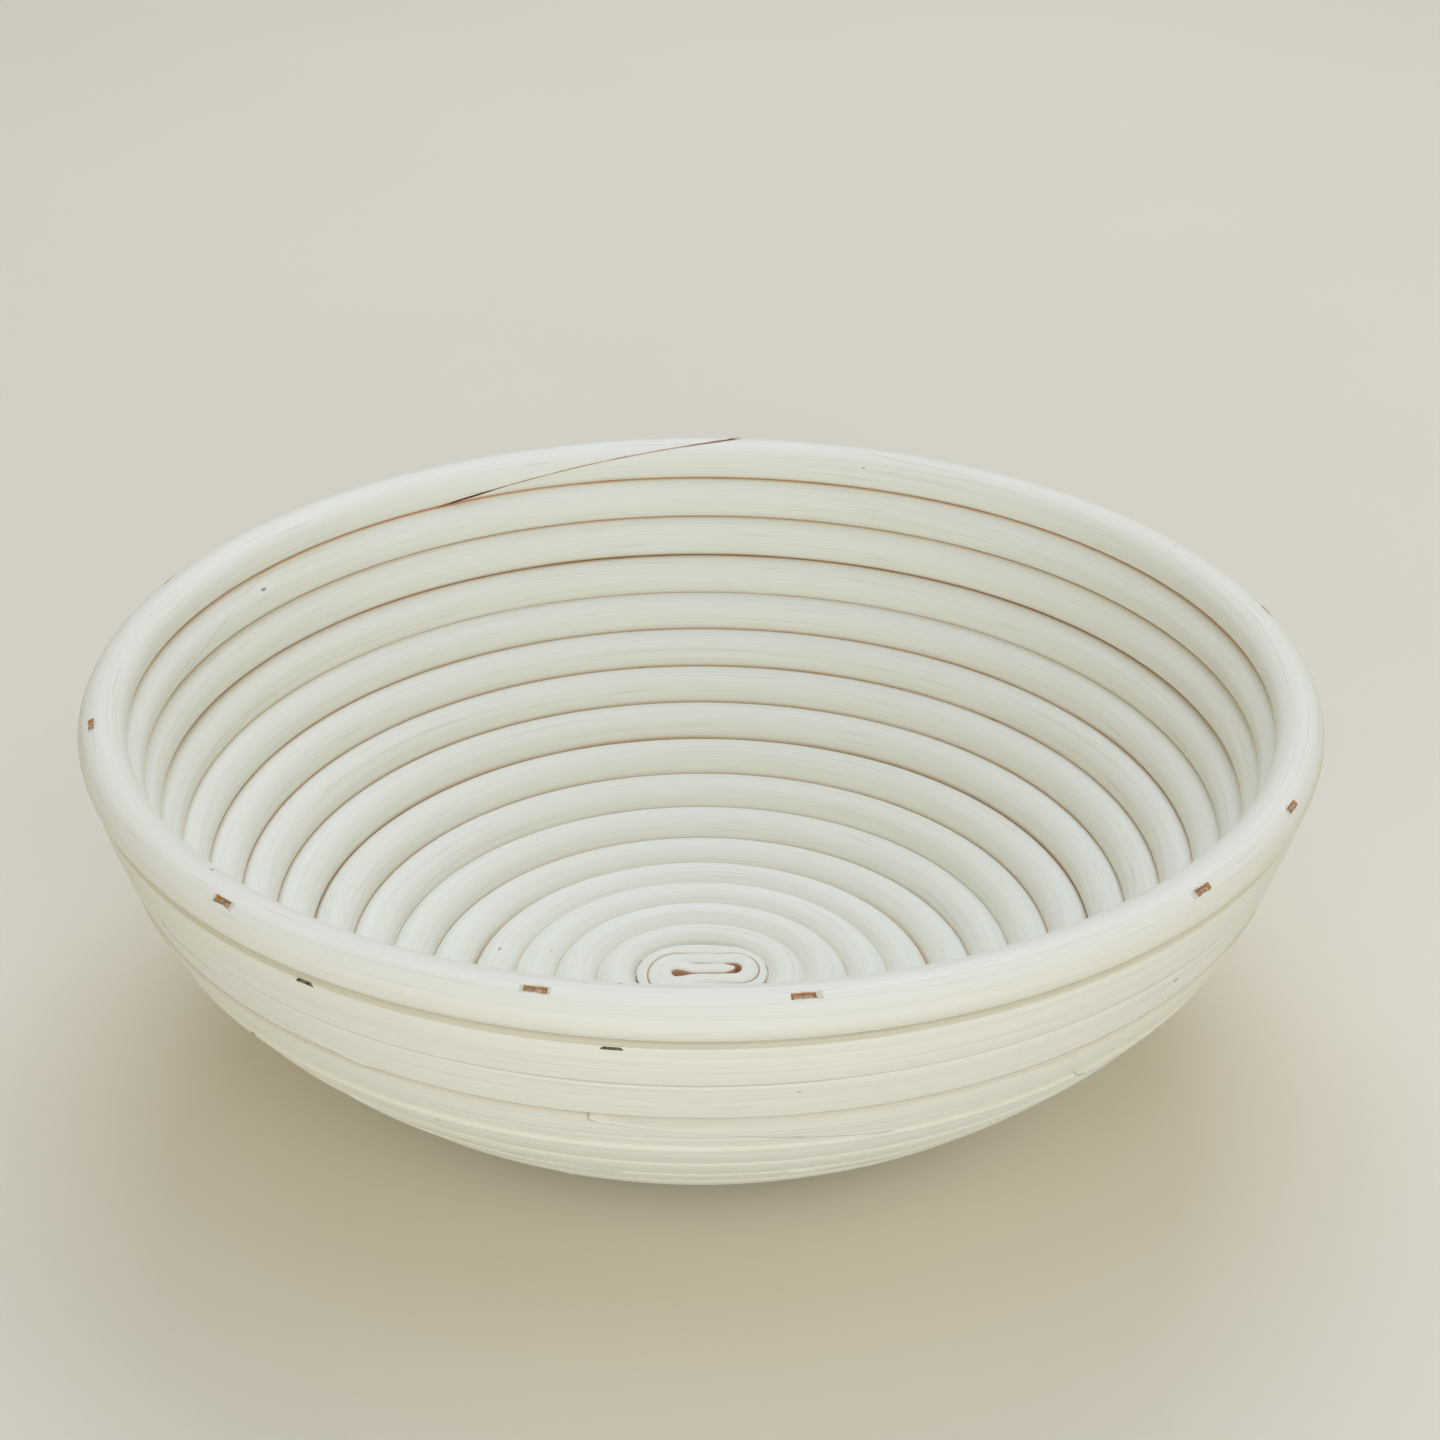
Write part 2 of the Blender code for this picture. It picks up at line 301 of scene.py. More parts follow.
def caneTree():
    # one cane bent to a closed hoop, its two ends cut on a long slant and laid together
    tree = bpy.data.node_groups.new("bentCane", "GeometryNodeTree")
    tree.interface.new_socket("Geometry", in_out="OUTPUT", socket_type="NodeSocketGeometry")
    sizes = ("Radius", "Height", "Tilt", "Half Width", "Inner Depth", "Outer Depth", "Flatness",
             "Start", "Scarf Turn", "Seam Gap", "Seam Split", "Tip Lift", "Seam Stain",
             "Stain Width", "Crease Shade Below", "Crease Shade Above", "Crown", "Keystone", "Unevenness",
             "Facets", "Ridges", "Reeding", "Oval", "Seed")
    for size in sizes:
        tree.interface.new_socket(size, in_out="INPUT", socket_type="NodeSocketFloat")
    for count in ("Steps Along", "Steps Around"):
        tree.interface.new_socket(count, in_out="INPUT", socket_type="NodeSocketInt")
    tree.interface.new_socket("Material", in_out="INPUT", socket_type="NodeSocketMaterial")
    b = Bench(tree)
    given = tree.nodes.new("NodeGroupInput")
    g = {socket.name: Wire(b, socket) for socket in given.outputs if socket.name}

    grid = b.node("GeometryNodeMeshGrid", {}, {
        "Size X": 1, "Size Y": 1, "Vertices X": g["Steps Along"], "Vertices Y": g["Steps Around"]})
    gridX, gridY, _ = b.node("GeometryNodeInputPosition").parts()
    share = gridX + 0.5
    around = (gridY + 0.5) * (2 * math.pi)
    turn = share * (g["Scarf Turn"] + 2 * math.pi)
    azimuth = turn + g["Start"]
    along = turn * g["Radius"]
    shift = g["Seed"] * 7.3

    # section: round inside, flattened outside, where its points are evenly spaced
    sine, cosine = around.sin(), around.cos()
    outside = around < math.pi
    inside = 1 - outside
    even = outside * (g["Flatness"] > 2.5)
    power = g["Flatness"] * outside + 2 * inside
    level = cosine * (1 - even) + (1 - around * (2 / math.pi)) * even
    crowned = 1 - level ** 2 * g["Crown"]

    def depthAt(place, power):
        return (1 - place.size() ** power).atLeast(0) ** (1 / power)

    depth = g["Outer Depth"] * crowned * outside - g["Inner Depth"] * inside
    out = depthAt(level, power) * depth

    # what makes no two stretches of cane alike
    east, north = azimuth.cos() * g["Radius"], azimuth.sin() * g["Radius"]
    slow = b.noise(b.vector(east * 16, north * 16, shift), 1, 1) - 0.5
    flats = b.noise(b.vector(east * 9, north * 9, sine * 1.3 + shift), 1, 1, cosine * 1.3) - 0.5
    ridges = b.noise(b.vector(east * 14, north * 14, sine * 6 + shift), 1, 2, cosine * 6) - 0.5
    reeds = b.noise(b.vector(east * 6, north * 6, level * 3.4 + shift), 1, 2) - 0.5
    grow = 1 + slow * g["Unevenness"] + flats * g["Facets"] * 2 + ridges * g["Ridges"] * 2
    stretch = grow + (out / g["Outer Depth"]).unit() * g["Keystone"]
    out = out * (grow + reeds * outside * g["Reeding"] * 2)
    up = level * stretch

    # the slant that parts the cane's two ends, from above the section to below it
    clear = 1.14
    startLine = clear - 2 * clear * turn / g["Scarf Turn"]
    endLine = clear - 2 * clear * (turn - 2 * math.pi) / g["Scarf Turn"]
    split = sum((-1 * line).ramp(0.52, 0.72) * (line > -1.2) for line in (startLine, endLine))
    gap = g["Seam Gap"] / g["Half Width"] * (1 + split * g["Seam Split"])
    low, high = startLine + gap, endLine - gap
    cutLow, cutHigh = up < low, up > high
    cutAway = cutLow + cutHigh
    line = ((low * cutLow + high * cutHigh) / stretch).atLeast(-1).atMost(1)
    chordIn = -1 * g["Inner Depth"] * grow * depthAt(line, 2)
    chordOut = g["Outer Depth"] * grow * depthAt(line, g["Flatness"])
    whole = 1 - cutAway
    out = out * whole + (out * 1.35).atLeast(chordIn).atMost(chordOut) * cutAway
    level = up.atLeast(low).atMost(high)
    lift = (1 - turn / (g["Scarf Turn"] * 0.35)).atLeast(0) ** 2 * g["Tip Lift"]
    fromSeam = (level - startLine).size().atMost((level - endLine).size()) * g["Half Width"]
    stainAndShade = g["Seam Stain"] * (1 - (fromSeam - gap * g["Half Width"]) / g["Stain Width"])

    half = g["Half Width"]
    outward = out * half
    upward = level * half + lift
    oval = (azimuth * 2).cos() * g["Oval"]
    reach = (g["Radius"] + oval + upward * g["Tilt"].cos() + outward * g["Tilt"].sin())
    z = g["Height"] + upward * g["Tilt"].sin() - outward * g["Tilt"].cos()
    place = b.vector(reach * azimuth.cos(), reach * azimuth.sin(), z)

    caneSpot = b.vector(along + shift, outward, upward)
    # painted crease shade for the lower and upper edge of the section, only a twentieth of it on
    # the outer side
    above = level > 0
    creaseShade = g["Crease Shade Above"] * above + g["Crease Shade Below"] * (1 - above)
    tint = b.vector(creaseShade * (1 - outside * 0.95), stainAndShade, level)
    shape = grid
    for name, value in (("cane", caneSpot), ("tint", tint)):
        shape = b.node("GeometryNodeStoreNamedAttribute",
                       {"data_type": "FLOAT_VECTOR", "domain": "POINT"},
                       {"Geometry": shape, "Name": name, "Value": value})
    shape = b.node("GeometryNodeSetPosition", {}, {"Geometry": shape, "Position": place})
    shape = b.node("GeometryNodeMergeByDistance", {}, {"Geometry": shape, "Distance": 2e-7})
    bend = b.node("GeometryNodeInputMeshEdgeAngle")
    shape = b.node("GeometryNodeSetShadeSmooth", {"domain": "FACE"},
                   {"Geometry": shape, "Shade Smooth": True})
    shape = b.node("GeometryNodeSetShadeSmooth", {"domain": "EDGE"},
                   {"Geometry": shape, "Selection": bend > 0.7, "Shade Smooth": False})
    shape = b.node("GeometryNodeRealizeInstances", {}, {"Geometry": shape})
    shape = b.node("GeometryNodeSetMaterial", {}, {"Geometry": shape, "Material": g["Material"]})
    b.node("NodeGroupOutput", {}, {0: shape})
    return tree


def grown(name, tree, values, source=None):
    # runs a tree once and keeps its result as a plain mesh
    holder = source or bpy.data.objects.new(name + "Holder", bpy.data.meshes.new(name))
    if holder.name not in bpy.context.scene.collection.objects:
        bpy.context.scene.collection.objects.link(holder)
    modifier = holder.modifiers.new("grow", "NODES")
    modifier.node_group = tree
    sockets = {item.name: item.identifier for item in tree.interface.items_tree
               if item.in_out == "INPUT"}
    for key, value in values.items():
        modifier[sockets[key]] = value
    evaluated = holder.evaluated_get(bpy.context.evaluated_depsgraph_get())
    mesh = bpy.data.meshes.new_from_object(evaluated)
    holder.modifiers.remove(modifier)
    bpy.data.objects.remove(holder)
    return addMesh(name, mesh)


def addMesh(name, mesh):
    bm = bmesh.new()
    bm.from_mesh(mesh)
    bmesh.ops.delete(bm, geom=[e for e in bm.edges if not e.link_faces], context="EDGES")
    bmesh.ops.delete(bm, geom=[v for v in bm.verts if not v.link_faces], context="VERTS")
    bmesh.ops.recalc_face_normals(bm, faces=bm.faces)
    bm.to_mesh(mesh)
    bm.free()
    mesh.name = name
    material = next(m for m in mesh.materials if m)
    mesh.materials.clear()
    mesh.materials.append(material)
    mesh.polygons.foreach_set("material_index", [0] * len(mesh.polygons))
    piece = bpy.data.objects.new(name, mesh)
    bpy.context.scene.collection.objects.link(piece)
    return piece


def settle(piece, nodes):
    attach(piece, "root")
    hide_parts(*nodes)


bentCane = caneTree()
canes = {}
for index, hoop in enumerate(hoops):
    name = hoop["name"]
    shape = shapes.get(name, hoopShape)
    length = 2 * math.pi * hoop["radius"]
    scarf = min(shape["scarfLength"], shape["scarfShare"] * length)
    start = scarfPlaces.get(name, scarfPlaces["first"]
                            + scarfPlaces["arc"] * (index * scarfPlaces["step"] % 1))
    # how much painted shade this hoop's creases get, more on the higher hoops
    creaseShade = (creaseShadeStrength["low"] + creaseShadeStrength["rise"]
             * max(0, index - creaseShadeStrength["from"]) / creaseShadeStrength["over"])
    canes[name] = grown(name.replace("_hoop", "Cane"), bentCane, {
        "Radius": hoop["radius"], "Height": hoop["height"], "Tilt": hoop["tilt"],
        "Half Width": hoop["half"] * shape["fullness"],
        "Inner Depth": shape["innerDepth"], "Outer Depth": shape["outerDepth"],
        "Flatness": shape["flatness"], "Crown": shape["crown"], "Keystone": shape["keystone"],
        "Unevenness": shape["unevenness"], "Facets": shape["facets"],
        "Ridges": shape["ridges"], "Reeding": shape["reeding"],
        "Start": math.radians(start), "Scarf Turn": scarf / hoop["radius"],
        "Seam Gap": shape["seamGap"], "Seam Split": shape["seamSplit"],
        "Seam Stain": shape["seamStain"], "Stain Width": shape["stainWidth"],
        "Tip Lift": shape["tipLift"],
        "Crease Shade Below": creaseShade, "Crease Shade Above": creaseShade * shape["creaseShadeAbove"],
        "Oval": ovals.get(name, 0.0), "Seed": index + 1.0,
        "Steps Along": max(200, int(length / shape["stepAlong"])),
        "Steps Around": shape["stepsAround"] + 1,
        "Material": cane,
    })
    settle(canes[name], [name])
print("canes bent:", sum(len(c.data.polygons) for c in canes.values()), "faces")


rollShape = {
    "strip": 0.0032,          # thickness of the split cane
    "fold": 0.0115,           # from the eye inside the fold to the strip's inner end
    "middle": (0.00125, -0.0012),  # of the fold, from the basket's axis
    "deeper": 1.2,            # how much thicker the strip is at the front and back
    "eye": 0.0018,
    "room": (0.0137, 0.0117),  # half sizes of the oval hole that it fills
    "flare": 0.10,            # how far its top spreads over the first hoop
    "shoulder": 0.0007,
    "thinned": 0.97,          # leaves a fine line between two turns
    "skin": 0.00032,
}


def windingPath():
    # the strip's middle line: its inner end, round the eye, and on outwards
    strip, eye = rollShape["strip"], rollShape["eye"]
    half = rollShape["fold"] / 2

    def near(x):
        # how far the fold's two sides stand apart beside the eye
        return 0.5 * eye * math.exp(-((x + half) / 0.0022) ** 2)

    inner = [-half + 2 * half * k / 12 for k in range(13)]
    path = [(half * 1.06, strip / 2)] + [(x, strip / 2 + near(x)) for x in reversed(inner[:-1])]
    for step in range(1, 12):
        angle = math.pi / 2 + math.pi * step / 12
        reach = strip / 2 + eye * (0.5 + 0.5 * abs(math.cos(angle)))
        path.append((-half + reach * math.cos(angle), reach * math.sin(angle)))
    path += [(x, -strip / 2 - near(x)) for x in inner]
    # half turns, each one strip farther out
    for right, turns in ((True, 1), (False, 1.5), (True, 2), (False, 2.5)):
        centre = (half, strip / 2) if right else (-half, 0)
        start = -math.pi / 2 if right else math.pi / 2
        for step in range(25):
            angle = start + math.pi * step / 24
            reach = strip * turns
            path.append((centre[0] + reach * math.cos(angle),
                         centre[1] + reach * math.sin(angle)))
    # the strip's outer end, along the front and a little way up the right
    path += [(-half + 2 * half * k / 8, -2.5 * strip) for k in range(1, 9)]
    for step in range(1, 8):
        angle = -math.pi / 2 + math.pi * step / 24
        path.append((half + 3 * strip * math.cos(angle), strip / 2 + 3 * strip * math.sin(angle)))
    return path


def skinPath(first, last, reach, waver):
    # a thin peeled skin standing between the roll and the first hoop, in degrees
    path = []
    for step in range(25):
        share = step / 24
        angle = math.radians(first + (last - first) * share)
        grow = reach + waver * math.sin(share * 9) - 0.05 * (2 * share - 1) ** 4
        path.append((rollShape["room"][0] * grow * math.cos(angle),
                     rollShape["room"][1] * grow * math.sin(angle)))
    return path


def curveObject(name, path):
    data = bpy.data.curves.new(name, "CURVE")
    data.dimensions = "3D"
    spline = data.splines.new("POLY")
    spline.points.add(len(path) - 1)
    for point, (x, y) in zip(spline.points, path):
        point.co = (x, y, 0, 1)
    return bpy.data.objects.new(name, data)


def stripTree():
    # a flat strip standing on edge along a curve, its upper edge rounded
    tree = bpy.data.node_groups.new("woundStrip", "GeometryNodeTree")
    tree.interface.new_socket("Geometry", in_out="INPUT", socket_type="NodeSocketGeometry")
    tree.interface.new_socket("Geometry", in_out="OUTPUT", socket_type="NodeSocketGeometry")
    for size in ("Thickness", "Bottom", "Top", "Middle X", "Middle Y", "Deeper", "Squeeze",
                 "Room X", "Room Y", "Flare", "Shoulder", "Eye Offset", "Eye Shade", "Seed"):
        tree.interface.new_socket(size, in_out="INPUT", socket_type="NodeSocketFloat")
    for count in ("Steps Along", "Steps Around"):
        tree.interface.new_socket(count, in_out="INPUT", socket_type="NodeSocketInt")
    tree.interface.new_socket("Material", in_out="INPUT", socket_type="NodeSocketMaterial")
    b = Bench(tree)
    given = tree.nodes.new("NodeGroupInput")
    g = {socket.name: Wire(b, socket) for socket in given.outputs if socket.name}
    grid = b.node("GeometryNodeMeshGrid", {}, {
        "Size X": 1, "Size Y": 1, "Vertices X": g["Steps Along"], "Vertices Y": g["Steps Around"]})
    gridX, gridY, _ = b.node("GeometryNodeInputPosition").parts()
    share = (gridX + 0.5).unit()
    around = (gridY + 0.5) * (2 * math.pi)
    sampled = b.tree.nodes.new("GeometryNodeSampleCurve")
    sampled.mode = "FACTOR"
    b.tree.links.new(g["Geometry"].socket, sampled.inputs["Curves"])
    b.tree.links.new(share.socket, sampled.inputs["Factor"])
    px, py, _ = Wire(b, sampled.outputs["Position"]).parts()
    tx, ty, _ = Wire(b, sampled.outputs["Tangent"]).parts()
    # how thick the strip is here, thinning to nothing at both ends
    ends = (share * 60).atMost(1) ** 0.5 * ((1 - share) * 12).atMost(1) ** 0.5
    waver = b.noise(b.vector(share * 14, g["Seed"], 0), 1, 2) - 0.5
    thick = g["Thickness"] * 0.5 * ends
    cosine, sine = around.cos(), around.sin()
    across = cosine.sign() * cosine.size() ** 0.6 * thick
    rise = (sine > 0.001) - (sine < -0.001)
    x = g["Middle X"] + px - ty * across
    y = g["Middle Y"] + (py + tx * across) * g["Deeper"]
    # the outer turns are pressed into the hole that is left for them
    spread = ((x / g["Room X"]) ** 2 + (y / g["Room Y"]) ** 2) ** 0.5
    pressed = 1 - 0.22 * b.node("ShaderNodeMath", {"operation": "EXPONENT"},
                                {0: (spread - 0.78) * (-1 / 0.22)})
    shrink = (spread > 0.78) * g["Squeeze"] * (pressed / spread - 1) + 1
    shrink = shrink * (1 + rise.unit() * spread.ramp(0.55, 1.0) * g["Flare"])
    x, y = x * shrink, y * shrink
    middle = (g["Top"] + g["Bottom"]) * 0.5
    domed = (g["Top"] - g["Bottom"]) * 0.5 - g["Shoulder"] * (1 - sine.size() ** 0.8)
    z = middle + rise * domed + (waver * 0.0008 - spread.ramp(0.7, 1.0) * 0.0007) * (rise > 0)
    left = b.vector(x - g["Middle X"] + g["Eye Offset"], y - g["Middle Y"], 0)
    right = b.vector(x - g["Middle X"] - g["Eye Offset"], y - g["Middle Y"] - 0.0016, 0)
    away = [b.node("ShaderNodeVectorMath", {"operation": "LENGTH"}, {0: spot}, 1)
            for spot in (left, right)]
    # painted shade in the eye holes of the fold and the slit between its sides, darker the deeper
    # it sinks below the top
    near = 1 - away[0].atMost(away[1]).ramp(0.0016, 0.0036)
    between = (1 - (y - g["Middle Y"]).size().ramp(0.0003, 0.0009)) * (
        (x - g["Middle X"]).size() < g["Eye Offset"])
    sunk = (g["Top"] - z).ramp(0.0001, 0.0009)
    stainAndShade = near.atLeast(between * 0.7) * sunk * g["Eye Shade"]
    low = b.vector(share * 0.12 + g["Seed"] * 3, across, z)
    # painted shade in the creases between the roll's turns, on the strip's sides
    tint = b.vector(0.6, stainAndShade, cosine)
    shape = grid
    for name, value in (("cane", low), ("tint", tint)):
        shape = b.node("GeometryNodeStoreNamedAttribute",
                       {"data_type": "FLOAT_VECTOR", "domain": "POINT"},
                       {"Geometry": shape, "Name": name, "Value": value})
    shape = b.node("GeometryNodeSetPosition", {}, {"Geometry": shape,
                                                   "Position": b.vector(x, y, z)})
    shape = b.node("GeometryNodeMergeByDistance", {}, {"Geometry": shape, "Distance": 1e-6})
    shape = b.node("GeometryNodeSetShadeSmooth", {}, {"Geometry": shape, "Shade Smooth": True})
    shape = b.node("GeometryNodeRealizeInstances", {}, {"Geometry": shape})
    shape = b.node("GeometryNodeSetMaterial", {}, {"Geometry": shape, "Material": g["Material"]})
    b.node("NodeGroupOutput", {}, {0: shape})
    return tree


woundStrip = stripTree()
lowest, highest = (corner[2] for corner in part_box("centre_roll"))


def makeStrip(name, path, thickness, squeeze, seed, steps, drop=0.0):
    plain = squeeze == 0
    return grown(name, woundStrip, {
        "Thickness": thickness, "Bottom": lowest, "Top": highest - drop,
        "Middle X": 0.0 if plain else rollShape["middle"][0],
        "Middle Y": 0.0 if plain else rollShape["middle"][1],
        "Deeper": 1.0 if plain else rollShape["deeper"],
        "Squeeze": squeeze, "Room X": rollShape["room"][0], "Room Y": rollShape["room"][1],
        "Flare": rollShape["flare"], "Shoulder": rollShape["shoulder"],
        "Eye Offset": rollShape["fold"] / 2, "Eye Shade": 0.0 if plain else 1.0,
        "Seed": seed, "Steps Along": steps, "Steps Around": 41, "Material": cane,
    }, curveObject(name + "Path", path))


roll = makeStrip("centreRoll", windingPath(), thickness=rollShape["strip"] * rollShape["thinned"],
                 squeeze=1.0, seed=3.0, steps=700)
settle(roll, ["centre_roll"])

# name, first and last angle, share of the hole it stands at, waver and drop of its upper edge
skins = (
    ("skinRight", -52, 48, 0.985, 0.004, 0.0006),
    ("skinRightInner", -60, 20, 0.955, 0.006, 0.001),
    ("skinLeft", 140, 222, 0.985, 0.005, 0.0008),
    ("skinLeftInner", 165, 236, 0.95, 0.006, 0.0014),
)
for number, (name, first, last, reach, waver, drop) in enumerate(skins):
    skin = makeStrip(name, skinPath(first, last, reach, waver), thickness=rollShape["skin"],
                     squeeze=0.0, seed=5.0 + number, steps=120, drop=drop)
    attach(skin, "root")
print("centre rolled")


fibreShape = {
    "thickness": 0.00011,
    # hoop, azimuth, length, how far it leans along the hoop, how far it stands off
    "places": (("wall_hoop_08", 103, 0.0056, 0.10, 0.16), ("wall_hoop_08", 61, 0.0040, -0.55, 0.20),
               ("rim_hoop", 91, 0.0042, 0.45, 0.35), ("rim_hoop", 29, 0.0060, -0.80, 0.12),
               ("wall_hoop_05", 118, 0.0030, 0.90, 0.10), ("wall_hoop_03", 48, 0.0035, 0.85, 0.10)),
}


def fibreTree():
    # a fine round thread along every line of a curve
    tree = bpy.data.node_groups.new("fineFibre", "GeometryNodeTree")
    tree.interface.new_socket("Geometry", in_out="INPUT", socket_type="NodeSocketGeometry")
    tree.interface.new_socket("Geometry", in_out="OUTPUT", socket_type="NodeSocketGeometry")
    tree.interface.new_socket("Thickness", in_out="INPUT", socket_type="NodeSocketFloat")
    tree.interface.new_socket("Material", in_out="INPUT", socket_type="NodeSocketMaterial")
    b = Bench(tree)
    given = tree.nodes.new("NodeGroupInput")
    g = {socket.name: Wire(b, socket) for socket in given.outputs if socket.name}
    ring = b.node("GeometryNodeCurvePrimitiveCircle", {},
                  {"Resolution": 6, "Radius": g["Thickness"] * 0.5})
    shape = b.node("GeometryNodeCurveToMesh", {}, {"Curve": g["Geometry"], "Profile Curve": ring,
                                                   "Fill Caps": True})
    where = b.node("GeometryNodeInputPosition")
    for name, value in (("cane", where), ("tint", b.vector(0, 0, 0))):
        shape = b.node("GeometryNodeStoreNamedAttribute",
                       {"data_type": "FLOAT_VECTOR", "domain": "POINT"},
                       {"Geometry": shape, "Name": name, "Value": value})
    shape = b.node("GeometryNodeRealizeInstances", {}, {"Geometry": shape})
    shape = b.node("GeometryNodeSetMaterial", {}, {"Geometry": shape, "Material": g["Material"]})
    b.node("NodeGroupOutput", {}, {0: shape})
    return tree


def makeFibres():
    data = bpy.data.curves.new("fibreLines", "CURVE")
    data.dimensions = "3D"
    for name, azimuth, length, along, off in fibreShape["places"]:
        hoop = next(h for h in hoops if h["name"] == name)
        azimuth, tilt = math.radians(azimuth), hoop["tilt"]
        spline = data.splines.new("POLY")
        spline.points.add(9)
        for step, point in enumerate(spline.points):
            share = step / 9
            up = hoop["half"] * 0.55 + length * share * 0.85
            out = -hoop["half"] * (0.80 + 0.1 * share) - length * off * share ** 2
            reach = hoop["radius"] + up * math.cos(tilt) + out * math.sin(tilt)
            turn = azimuth + along * length * share / hoop["radius"]
            point.co = (reach * math.cos(turn), reach * math.sin(turn),
                        hoop["height"] + up * math.sin(tilt) - out * math.cos(tilt), 1)
    piece = grown("strayFibres", fibreTree(), {"Thickness": fibreShape["thickness"],
                                               "Material": cane},
                  bpy.data.objects.new("fibreLines", data))
    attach(piece, "root")


makeFibres()
print("fibres laid")


stapleShape = {
    "crown": 0.0044,
    "leg": 0.0138,
    "wire": 0.0006,
    "width": 0.0010,
    "topWidth": 0.0006,      # of the two under the rim
    "shoulder": 0.0005,
    "slotLength": 0.0042,
    "slotWidth": 0.00115,
    "slotDepth": 0.0006,
    "sunk": 0.00035,         # crown of a rim staple below the cane's surface
    "topSunk": -0.0001,
    "topLevel": 0.90,        # how far up the hoop's section the crowns under the rim lie
    "topLean": 68,           # degrees that their legs turn down along the wall
    "ragged": 0.0001,
}


def stapleSeat(name, below):
    # where a staple's crown lies and which way it was driven
    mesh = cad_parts[name].data
    corners = {tuple(round(c, 6) for c in vertex.co) for vertex in mesh.vertices}
    middle = sum((Vector(c) for c in corners), Vector()) / len(corners)
    azimuth = math.atan2(middle.y, middle.x)
    target = Vector((below["radius"] * math.cos(azimuth), below["radius"] * math.sin(azimuth),
                     below["height"]))
    top = sorted(corners, key=lambda corner: (Vector(corner) - target).length)[-4:]
    crown = sum((Vector(c) for c in top), Vector()) / 4
    down = (target - crown).normalized()
    across = Vector((-math.sin(azimuth), math.cos(azimuth), 0))
    return {"name": name, "crown": crown, "down": down, "across": across,
            "side": across.cross(down)}


seats = {}
for index, hoop in enumerate(hoops):
    stem = hoop["name"].replace("_hoop", "") + "_staple_"
    below = hoops[index - 1] if index else {"radius": 0.0, "height": hoop["height"]}
    seats[hoop["name"]] = [stapleSeat(name, below) for name in sorted(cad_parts)
                           if name.startswith(stem)]


def stapleTree():
    # one bent wire staple set at every point, turned by the point's two directions
    tree = bpy.data.node_groups.new("drivenStaples", "GeometryNodeTree")
    tree.interface.new_socket("Geometry", in_out="INPUT", socket_type="NodeSocketGeometry")
    tree.interface.new_socket("Geometry", in_out="OUTPUT", socket_type="NodeSocketGeometry")
    for size in ("Crown", "Leg", "Wire", "Width", "Shoulder"):
        tree.interface.new_socket(size, in_out="INPUT", socket_type="NodeSocketFloat")
    tree.interface.new_socket("Material", in_out="INPUT", socket_type="NodeSocketMaterial")
    b = Bench(tree)
    given = tree.nodes.new("NodeGroupInput")
    g = {socket.name: Wire(b, socket) for socket in given.outputs if socket.name}
    half = (g["Crown"] - g["Wire"]) * 0.5
    level = g["Wire"] * -0.5
    # a square line over the four corners, its two shoulders rounded
    line = b.node("GeometryNodeCurvePrimitiveQuadrilateral", {"mode": "POINTS"}, {
        "Point 1": b.vector(-1 * half, 0, g["Leg"] * -1), "Point 2": b.vector(-1 * half, 0, level),
        "Point 3": b.vector(half, 0, level), "Point 4": b.vector(half, 0, g["Leg"] * -1)})
    line = b.node("GeometryNodeSetSplineCyclic", {}, {"Geometry": line, "Cyclic": False})
    line = b.node("GeometryNodeFilletCurve", {"mode": "POLY"},
                  {"Curve": line, "Radius": g["Shoulder"], "Count": 5})
    bar = b.node("GeometryNodeCurvePrimitiveQuadrilateral", {"mode": "RECTANGLE"},
                 {"Width": g["Wire"], "Height": g["Width"]})
    bar = b.node("GeometryNodeFilletCurve", {"mode": "POLY"},
                 {"Curve": bar, "Radius": g["Wire"] * 0.2, "Count": 2})
    wire = b.node("GeometryNodeCurveToMesh", {}, {"Curve": line, "Profile Curve": bar,
                                                  "Fill Caps": True})
    down = b.node("GeometryNodeInputNamedAttribute", {"data_type": "FLOAT_VECTOR"},
                  {"Name": "down"})
    across = b.node("GeometryNodeInputNamedAttribute", {"data_type": "FLOAT_VECTOR"},
                    {"Name": "across"})
    upward = b.node("ShaderNodeVectorMath", {"operation": "SCALE"}, {0: down, "Scale": -1})
    turn = b.node("FunctionNodeAxesToRotation", {"primary_axis": "Z", "secondary_axis": "X"},
                  {"Primary Axis": upward, "Secondary Axis": across})
    shape = b.node("GeometryNodeInstanceOnPoints", {}, {"Points": g["Geometry"], "Instance": wire,
                                                        "Rotation": turn})
    shape = b.node("GeometryNodeRealizeInstances", {}, {"Geometry": shape})
    shape = b.node("GeometryNodeSetMaterial", {}, {"Geometry": shape, "Material": g["Material"]})
    b.node("NodeGroupOutput", {}, {0: shape})
    return tree


drivenStaples = stapleTree()


def makeStaples(name, these, wire, width):
    mesh = bpy.data.meshes.new(name + "Seats")
    mesh.from_pydata([seat["crown"] for seat in these], [], [])
    for key in ("down", "across"):
        held = mesh.attributes.new(key, "FLOAT_VECTOR", "POINT")
        for item, seat in zip(held.data, these):
            item.vector = seat[key]
    piece = grown(name, drivenStaples, {
        "Crown": stapleShape["crown"] - 0.0002, "Leg": stapleShape["leg"],
        "Wire": stapleShape["wire"], "Width": width, "Shoulder": stapleShape["shoulder"],
        "Material": wire}, bpy.data.objects.new(name + "Seats", mesh))
    settle(piece, [seat["name"] for seat in these])


def surfaceSeat(seat, piece, sunk):
    # the same seat, its crown this far below the surface of the cane
    found = BVHTree.FromPolygons([v.co for v in piece.data.vertices],
                                 [tuple(f.vertices) for f in piece.data.polygons])
    hit = found.ray_cast(seat["crown"] - seat["down"] * 0.012, seat["down"], 0.03)[0]
    return {**seat, "crown": hit + seat["down"] * sunk}


